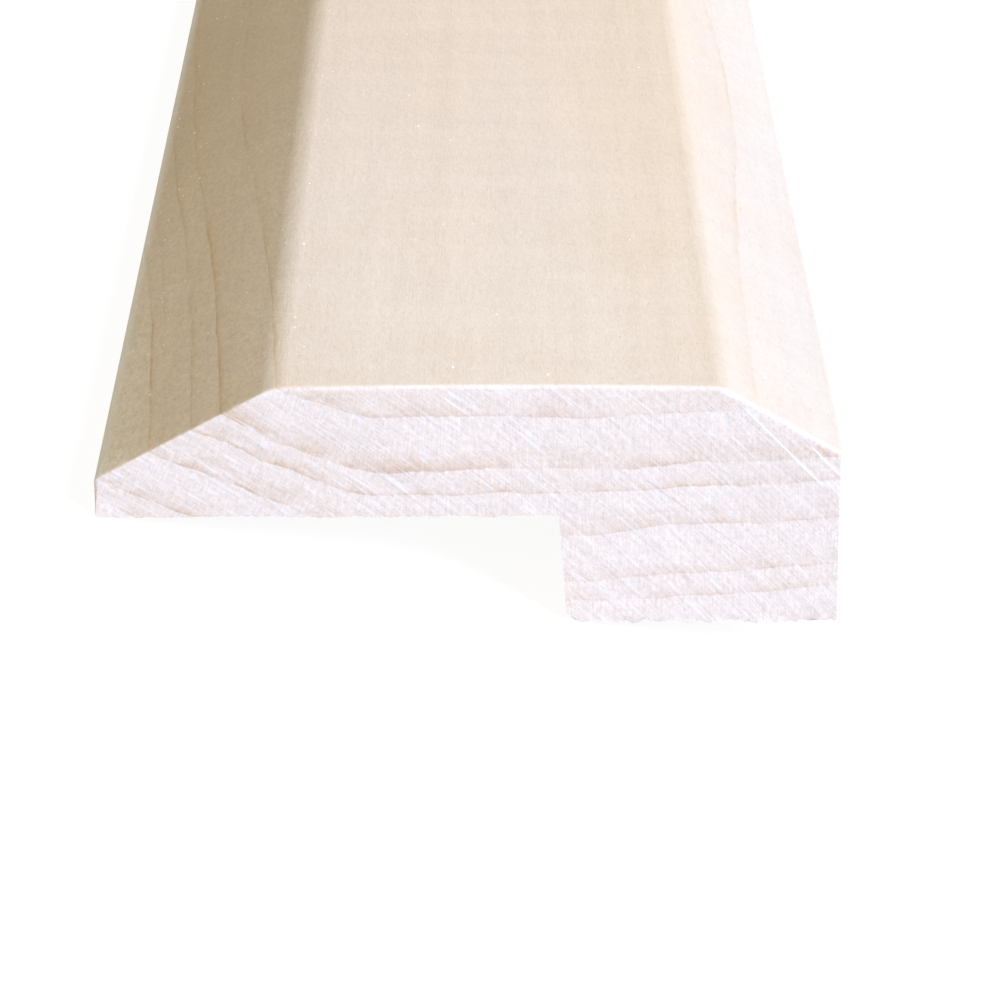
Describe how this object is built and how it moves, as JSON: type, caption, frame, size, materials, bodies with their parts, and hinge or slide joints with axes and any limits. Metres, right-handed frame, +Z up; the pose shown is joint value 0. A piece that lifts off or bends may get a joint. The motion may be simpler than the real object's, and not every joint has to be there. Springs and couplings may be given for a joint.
{
  "type": "wood threshold moulding",
  "caption": "Straight wooden threshold with a crowned top, two bevels, a lip over a rabbet and a foot, laid across a doorway to cover the edge of a floor.",
  "frame": {"origin": "on the floor, under the middle of the moulding as it rests on its nose and its foot", "axes": "+Y along the length, +Z up, +X across from the nose of the lip towards the foot"},
  "size_m": [0.055, 0.9144, 0.0208],
  "materials": {
    "maple": "planed and lightly sanded, unfinished"
  },
  "bodies": {
    "root": {"threshold": "maple"}
  },
  "joints": []
}
